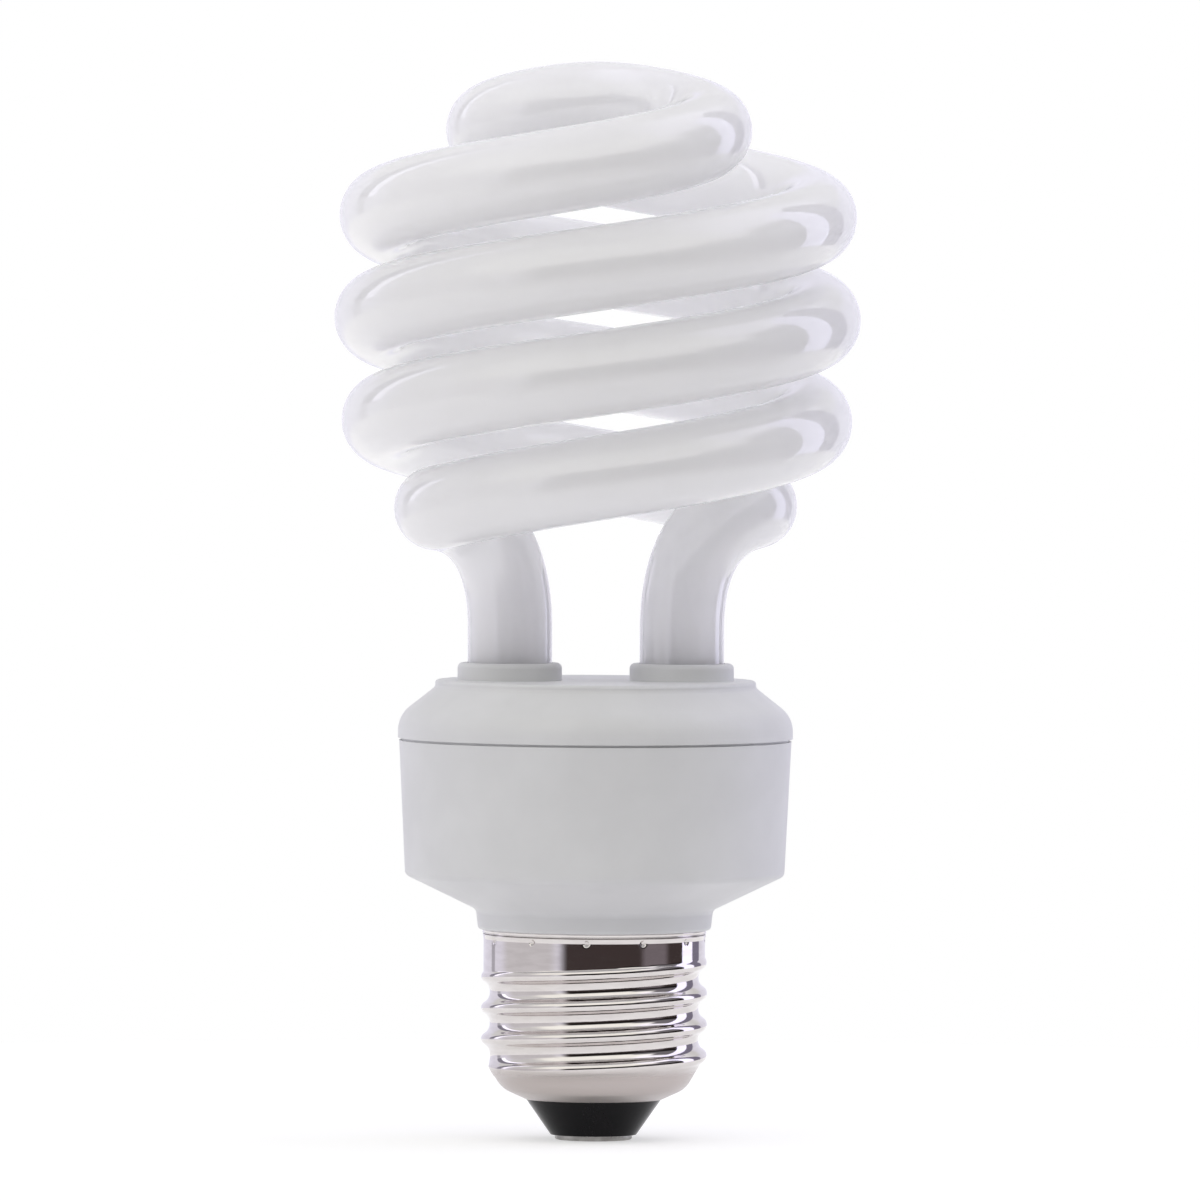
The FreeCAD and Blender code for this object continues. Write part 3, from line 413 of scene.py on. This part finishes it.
def thread_height(angle, level):
    """How far the rolled thread stands out of its root: two tangent arcs, faded at both ends."""
    depth = CREST_RADIUS - ROOT_RADIUS
    half = (THREAD_PITCH - ROOT_FLAT) / 2
    both = (half ** 2 + depth ** 2) / (2 * depth)
    root_round = both - CREST_ROUND
    turn = angle / FULL_TURN
    phase = (level - THREAD_LEVEL) / THREAD_PITCH - turn
    nearest = np.round(phase)
    away = np.abs(phase - nearest) * THREAD_PITCH
    crest = depth - CREST_ROUND + np.sqrt(np.maximum(CREST_ROUND ** 2 - away ** 2, 0))
    root = root_round - np.sqrt(np.maximum(root_round ** 2 - np.maximum(half - away, 0) ** 2, 0))
    height = np.where(away < half * CREST_ROUND / both, crest, root)
    wound = turn + nearest
    inside = np.clip(np.minimum(wound - THREAD_BEGIN, THREAD_END - wound) / THREAD_FADE, 0, 1)
    return height * inside ** 2 * (3 - 2 * inside)


def band_height(angle, level):
    """How far the plain band, which reaches down to the last turn's crest, stands out of the root."""
    turn = angle / FULL_TURN
    wound = turn + np.floor(THREAD_END - turn)
    grown = np.clip((wound - THREAD_END + 1) / THREAD_FADE, 0, 1)
    crest_level = THREAD_LEVEL + THREAD_PITCH * wound
    return np.where(level > crest_level, (BAND_RADIUS - ROOT_RADIUS) * grown, 0)


def threaded(outline, angles):
    """Radii of the shell where it is threaded, by the outline's levels and the angles round it."""
    levels = outline[:, 1:2]
    standing = np.maximum(thread_height(angles, levels), band_height(angles, levels))
    return np.maximum(outline[:, 0:1], np.minimum(outline[:, 0:1], ROOT_RADIUS) + standing)


def dimple_depth(angle, level):
    """How far the crimp marks press in."""
    pitch = FULL_TURN / DIMPLE_COUNT
    aside = (np.mod(angle - math.radians(DIMPLE_TURN), pitch) - pitch / 2) * BAND_RADIUS
    away = np.hypot(aside, level - DIMPLE_LEVEL) / DIMPLE_RADIUS
    return DIMPLE_DEPTH * np.clip(1 - away ** 2, 0, 1)


def edge_faces(outer, inner, around):
    """Flat faces of the sheet's edge, from the ring of points outside to the sparser ring of the bore."""
    faces = []
    for place in range(around):
        arc = [outer + (place * BORE_SPARSE + step) % SHELL_AROUND for step in range(BORE_SPARSE + 1)]
        faces.append(arc + [inner + (place + 1) % around, inner + place])
    return faces


def ring_points(radii, angles, levels):
    """Points on rings, by rows of radii and levels and the angles round the axis."""
    heights = np.broadcast_to(levels, radii.shape)
    return np.stack([radii * np.cos(angles), radii * np.sin(angles), heights], axis=-1).reshape(-1, 3)


def make_cap_shell():
    """The sheet's outside and bore, closed along its two edges."""
    groove = SHELL_TOP - RIM_GROOVE
    rim_radius = BAND_RADIUS + RIM_FLARE
    outline = rounded_outline([
        (MOUTH_RADIUS, SHELL_BOTTOM, 0),
        (LIP_RADIUS, LIP_LEVEL, LIP_ROUND),
        (ROOT_RADIUS, SHOULDER_LEVEL, 0),
        (ROOT_RADIUS, SHELL_TOP - BAND_HEIGHT - BAND_FLARE, FLARE_ROUND),
        (BAND_RADIUS, SHELL_TOP - BAND_HEIGHT, BAND_ROUND),
        (BAND_RADIUS, SHELL_TOP - RIM_HEIGHT, RIM_ROUND),
        (rim_radius, groove + RIM_GROOVE_DEPTH, GROOVE_EDGE_ROUND),
        (rim_radius - RIM_GROOVE_DEPTH, groove, GROOVE_ROUND),
        (rim_radius, SHELL_TOP, 0),
    ], SHELL_STEP)
    angles = np.linspace(0, FULL_TURN, SHELL_AROUND, endpoint=False)[None, :]
    levels = outline[:, 1:2]
    radii = threaded(outline, angles) - dimple_depth(angles, levels)
    outside = ring_points(radii, angles, levels)
    rows = np.unique(np.append(np.arange(0, len(outline), BORE_SPARSE), len(outline) - 1))
    thin = outline[rows]
    around = SHELL_AROUND // BORE_SPARSE
    few = np.linspace(0, FULL_TURN, around, endpoint=False)[None, :]
    inside = ring_points(threaded(thin, few) - SHEET, few, thin[:, 1:2])
    faces = ring_faces(len(outline), SHELL_AROUND)
    faces += [face[::-1] for face in ring_faces(len(thin), around, len(outside))]
    faces += [face[::-1] for face in edge_faces(0, len(outside), around)]
    faces += edge_faces(len(outside) - SHELL_AROUND, len(outside) + len(inside) - around, around)
    add_piece("cap_shell", np.concatenate([outside, inside]), faces, "nickel_plate", "screw_shell")


make_glass_spiral()
make_cap_shell()
for row in frame["record"]["subparts"]:
    node = frame["nodes"][row["node"]]
    node.data.materials.clear()
    node.data.materials.append(materials[row["material_slot"]])


# Studio: a pale floor, a soft room and the camera

FLOOR_RADIUS = 0.2
FLOOR_AROUND = 96
FLOOR_DROP = 0.00002
FLOOR_ROUGHNESS = 0.9
FLOOR_PATCH = 60.0
FLOOR_GLOW = 0.50
FLOOR_DARK = rgb(0.90, 0.90, 0.90)
FLOOR_PALE = rgb(0.94, 0.94, 0.94)
FLOOR_SEEN = rgb(0.6, 0.6, 0.6)
WHITE = rgb(1.0, 1.0, 1.0)
OVERHEAD = rgb(0.79, 0.785, 0.79)
GROUND = rgb(1.12, 1.11, 1.11)
BACKDROP = rgb(1.04, 1.02, 1.14)
BACKDROP_SEEN = rgb(0.89, 0.875, 0.99)
OVERHEAD_FROM = (17.0, 24.0)
GROUND_FROM = (-10.0, -15.0)
# Panels of the room: degrees round from the camera's side, degrees up, soft edge, colour
PANELS = (
    ((-72.0, 98.0), (12.0, 62.0), 14.0, rgb(1.24, 1.235, 1.175)),
    ((60.0, 150.0), (36.0, 74.0), 12.0, rgb(1.45, 1.42, 1.58)),
    ((-38.0, 100.0), (-30.0, -12.0), 9.0, rgb(0.66, 0.64, 0.64)),
    ((-108.0, -42.0), (-13.0, 21.0), 8.0, rgb(0.72, 0.70, 0.73)),
    ((-34.0, 116.0), (-14.0, 21.0), 7.0, rgb(0.060, 0.045, 0.045)),
    ((-28.0, 116.0), (3.0, 20.0), 4.0, rgb(0.012, 0.010, 0.010)),
    ((52.0, 82.0), (-13.0, 3.0), 5.0, rgb(0.21, 0.18, 0.20)),
    ((44.0, 110.0), (15.0, 28.0), 5.0, rgb(0.20, 0.19, 0.21)),
    ((74.0, 110.0), (24.0, 42.0), 5.0, rgb(0.20, 0.19, 0.21)),
    ((105.0, 124.0), (-13.0, 52.0), 0.5, rgb(1.50, 1.46, 1.88)),
    ((124.0, 141.0), (-13.0, 50.0), 0.5, rgb(0.24, 0.22, 0.30)),
    ((-125.0, -117.0), (4.0, 70.0), 0.5, rgb(1.60, 1.56, 1.80)),
    ((-136.0, -125.0), (3.0, 70.0), 0.5, rgb(0.28, 0.27, 0.33)),
    ((-135.0, -127.0), (-13.0, 3.0), 0.5, rgb(0.52, 0.51, 0.57)),
)
LAMP_PLACE = Vector((0.78, 0.05, 0.16))
LAMP_AIM = Vector((0.0, 0.0, 0.06))
LAMP_SIZE = 0.4
LAMP_POWER = 0.52
LAMP_COLOUR = (0.86, 0.90, 1.0)
CAMERA_DISTANCE = 1.8
CAMERA_HEIGHT = 0.115
FRAME_WIDTH = 0.13905
CAMERA_AIM = Vector((0.00045, 0.0, 0.0626))
CAMERA_ROLL = 0.3
CAMERA_CLIP = (0.05, 20.0)
SENSOR = 36.0


def shown(tree):
    """One where the camera looks, directly, in metal or through glass."""
    path = add_node(tree, "ShaderNodeLightPath")
    share = path.outputs["Is Camera Ray"]
    for kind in ("Is Glossy Ray", "Is Transmission Ray"):
        share = calculate(tree, "MAXIMUM", share, path.outputs[kind])
    return share


def make_floor():
    """A small pale disc that looks white and keeps the lamp's shadow."""
    angles = [FULL_TURN * place / FLOOR_AROUND for place in range(FLOOR_AROUND)]
    rim = [(math.cos(angle) * FLOOR_RADIUS, math.sin(angle) * FLOOR_RADIUS) for angle in angles]
    mesh = bpy.data.meshes.new("floor")
    mesh.from_pydata([(x, y, -FLOOR_DROP) for x, y in rim], [], [list(range(FLOOR_AROUND))])
    floor = bpy.data.objects.new("floor", mesh)
    bpy.context.scene.collection.objects.link(floor)
    material = bpy.data.materials.new("pale_floor")
    material.use_nodes = True
    tree = material.node_tree
    surface = tree.nodes["Principled BSDF"]
    surface.inputs["Roughness"].default_value = FLOOR_ROUGHNESS
    surface.inputs["Specular IOR Level"].default_value = 0.0
    seen = shown(tree)
    cloudy = mixed(tree, speckle(tree, FLOOR_PATCH), FLOOR_DARK, FLOOR_PALE)
    tree.links.new(mixed(tree, seen, cloudy, FLOOR_SEEN), surface.inputs["Base Color"])
    surface.inputs["Emission Color"].default_value = WHITE
    tree.links.new(calculate(tree, "MULTIPLY", seen, FLOOR_GLOW), surface.inputs["Emission Strength"])
    mesh.materials.append(material)


def make_room():
    """Soft light by direction: pale above, below and behind, with panels round and over the lamp."""
    world = bpy.data.worlds.new("room")
    bpy.context.scene.world = world
    world.use_nodes = True
    tree = world.node_tree
    toward = add_node(tree, "ShaderNodeSeparateXYZ")
    tree.links.new(add_node(tree, "ShaderNodeTexCoord").outputs["Generated"], toward.inputs["Vector"])
    forward = calculate(tree, "MULTIPLY", toward.outputs["Y"], -1.0)
    aside = calculate(tree, "DEGREES", calculate(tree, "ARCTAN2", toward.outputs["X"], forward))
    above = calculate(tree, "DEGREES", calculate(tree, "ARCSINE", toward.outputs["Z"]))
    behind = mixed(tree, shown(tree), BACKDROP, BACKDROP_SEEN)
    light = mixed(tree, ramp(tree, above, *OVERHEAD_FROM), behind, OVERHEAD)
    light = mixed(tree, ramp(tree, above, *GROUND_FROM), light, GROUND)
    for around, height, soft, colour in PANELS:
        across = window(tree, aside, *around, soft)
        upward = window(tree, above, *height, soft)
        light = mixed(tree, calculate(tree, "MULTIPLY", across, upward), light, colour)
    camera = add_node(tree, "ShaderNodeLightPath").outputs["Is Camera Ray"]
    tree.links.new(mixed(tree, camera, light, WHITE), tree.nodes["Background"].inputs["Color"])


def aimed(place, aim):
    """The place of a lamp or camera that looks at a point."""
    return Matrix.Translation(place) @ (aim - place).to_track_quat("-Z", "Y").to_matrix().to_4x4()


def make_lamp():
    """A weak soft lamp on the right, not mirrored, because the room's bright panel stands there."""
    light = bpy.data.lights.new("side_lamp", "AREA")
    light.size = LAMP_SIZE
    light.energy = LAMP_POWER
    light.color = LAMP_COLOUR
    lamp = bpy.data.objects.new("side_lamp", light)
    bpy.context.scene.collection.objects.link(lamp)
    lamp.matrix_world = aimed(LAMP_PLACE, LAMP_AIM)
    lamp.visible_glossy = False


def make_camera():
    """The photo's view: from far off, a little above the lamp's middle."""
    lens = bpy.data.cameras.new("camera")
    lens.sensor_width = SENSOR
    lens.lens = SENSOR * CAMERA_DISTANCE / FRAME_WIDTH
    camera = bpy.data.objects.new("camera", lens)
    bpy.context.scene.collection.objects.link(camera)
    spot = Vector((CAMERA_AIM.x, -CAMERA_DISTANCE, CAMERA_HEIGHT))
    roll = Matrix.Rotation(math.radians(CAMERA_ROLL), 4, "Z")
    camera.matrix_world = aimed(spot, CAMERA_AIM) @ roll
    lens.clip_start, lens.clip_end = CAMERA_CLIP
    bpy.context.scene.camera = camera


make_floor()
make_room()
make_lamp()
make_camera()
bpy.context.scene.view_settings.view_transform = "Standard"
